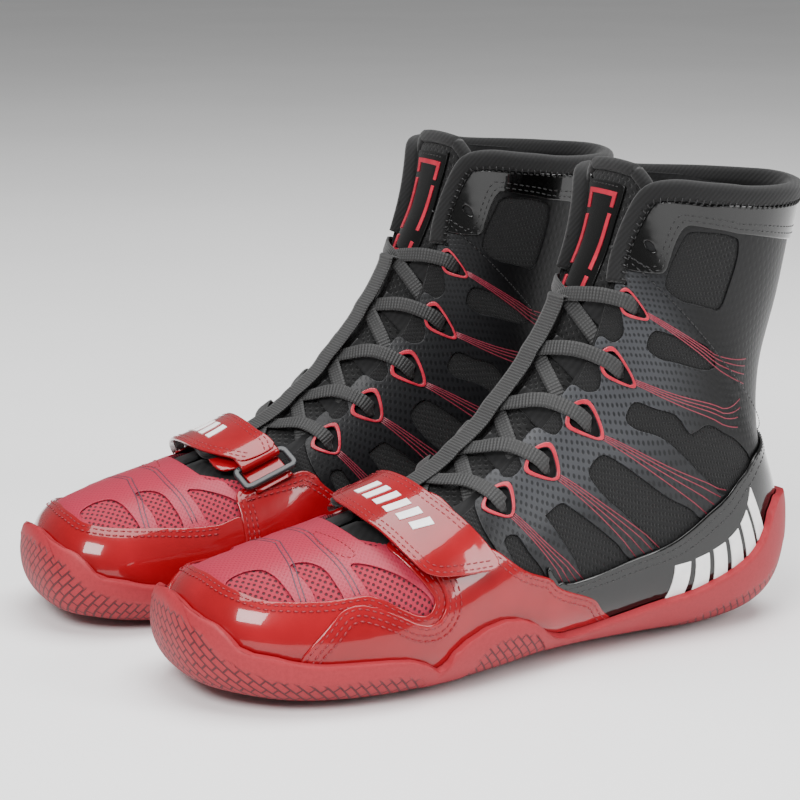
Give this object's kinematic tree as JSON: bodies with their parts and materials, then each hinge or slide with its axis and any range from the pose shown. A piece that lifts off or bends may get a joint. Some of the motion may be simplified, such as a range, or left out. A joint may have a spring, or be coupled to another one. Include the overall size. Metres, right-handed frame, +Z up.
{
  "type": "boxing boots",
  "caption": "Pair of mid-height boxing boots with cup outsole, patent overlays, mesh quarters, padded tongue, criss-cross laces and a ring-and-fold instep strap.",
  "frame": {"origin": "centre of the pair's bounding box in plan, on the ground", "axes": "+X from heel to toe, +Y to the wearer's left, +Z up; the left boot is on the +Y side"},
  "size_m": [0.3154, 0.2314, 0.2119],
  "materials": {
    "outsole_rubber": "matte moulded",
    "midsole_foam": "matte foam",
    "fibre_board": "matte",
    "sock_textile": "matte",
    "stiffener": "matte",
    "lining_textile": "matte knit",
    "vamp_film": "satin film over mesh",
    "patent_red": "patent gloss",
    "quarter_film": "satin film over mesh",
    "eyestay_film": "satin film",
    "patent_black": "patent gloss",
    "binding_knit": "matte stretch knit",
    "tongue_textile": "matte mesh",
    "patch_patent": "patent gloss with raised rubber print",
    "webbing": "ribbed matte",
    "lace_textile": "ribbed matte",
    "strap_patent": "patent gloss",
    "hook_and_loop": "matte pile",
    "ring_plastic": "satin"
  },
  "bodies": {
    "left_boot": {"left_outsole": "outsole_rubber", "left_midsole": "midsole_foam", "left_lasting_board": "fibre_board", "left_sock_liner": "sock_textile", "left_toe_puff": "stiffener", "left_heel_counter": "stiffener", "left_lining": "lining_textile", "left_vamp": "vamp_film", "left_toe_guard": "patent_red", "left_lateral_panel": "patent_red", "left_medial_panel": "patent_red", "left_quarter_lateral": "quarter_film", "left_quarter_medial": "quarter_film", "left_eyestay_lateral": "eyestay_film", "left_eyestay_medial": "eyestay_film", "left_heel_foxing": "patent_black", "left_collar_band": "patent_black", "left_collar_binding": "binding_knit", "left_back_strip": "patent_black", "left_tongue": "tongue_textile", "left_tongue_patch": "patch_patent", "left_tongue_webbing": "webbing", "left_lace": "lace_textile", "left_strap_base": "strap_patent", "left_loop_patch": "hook_and_loop", "left_ring_tab": "webbing"},
    "left_ring": {"left_ring": "ring_plastic"},
    "left_strap": {"left_strap_flap": "strap_patent", "left_hook_patch": "hook_and_loop"},
    "right_boot": {"right_outsole": "outsole_rubber", "right_midsole": "midsole_foam", "right_lasting_board": "fibre_board", "right_sock_liner": "sock_textile", "right_toe_puff": "stiffener", "right_heel_counter": "stiffener", "right_lining": "lining_textile", "right_vamp": "vamp_film", "right_toe_guard": "patent_red", "right_lateral_panel": "patent_red", "right_medial_panel": "patent_red", "right_quarter_lateral": "quarter_film", "right_quarter_medial": "quarter_film", "right_eyestay_lateral": "eyestay_film", "right_eyestay_medial": "eyestay_film", "right_heel_foxing": "patent_black", "right_collar_band": "patent_black", "right_collar_binding": "binding_knit", "right_back_strip": "patent_black", "right_tongue": "tongue_textile", "right_tongue_patch": "patch_patent", "right_tongue_webbing": "webbing", "right_lace": "lace_textile", "right_strap_base": "strap_patent", "right_loop_patch": "hook_and_loop", "right_ring_tab": "webbing"},
    "right_ring": {"right_ring": "ring_plastic"},
    "right_strap": {"right_strap_flap": "strap_patent", "right_hook_patch": "hook_and_loop"}
  },
  "joints": [
    {"name": "right_boot_lift", "type": "slide", "parent": "left_boot", "child": "right_boot", "axis": [0, 0, 1], "range_m": [0, 0.15]},
    {"name": "left_ring_swing", "type": "hinge", "parent": "left_boot", "child": "left_ring", "pos_m": [0.03647, 0.02525, 0.06299], "axis": [0.9437, -0.0686, -0.3237], "range_deg": [0, 18]},
    {"name": "left_strap_peel", "type": "hinge", "parent": "left_ring", "child": "left_strap", "pos_m": [0.03897, 0.03401, 0.06841], "axis": [0.9437, -0.0686, -0.3237], "range_deg": [0, 85]},
    {"name": "right_ring_swing", "type": "hinge", "parent": "right_boot", "child": "right_ring", "pos_m": [0.05347, -0.02525, 0.06299], "axis": [-0.9437, -0.0686, 0.3237], "range_deg": [0, 18]},
    {"name": "right_strap_peel", "type": "hinge", "parent": "right_ring", "child": "right_strap", "pos_m": [0.05597, -0.03401, 0.06841], "axis": [-0.9437, -0.0686, 0.3237], "range_deg": [0, 85]}
  ]
}
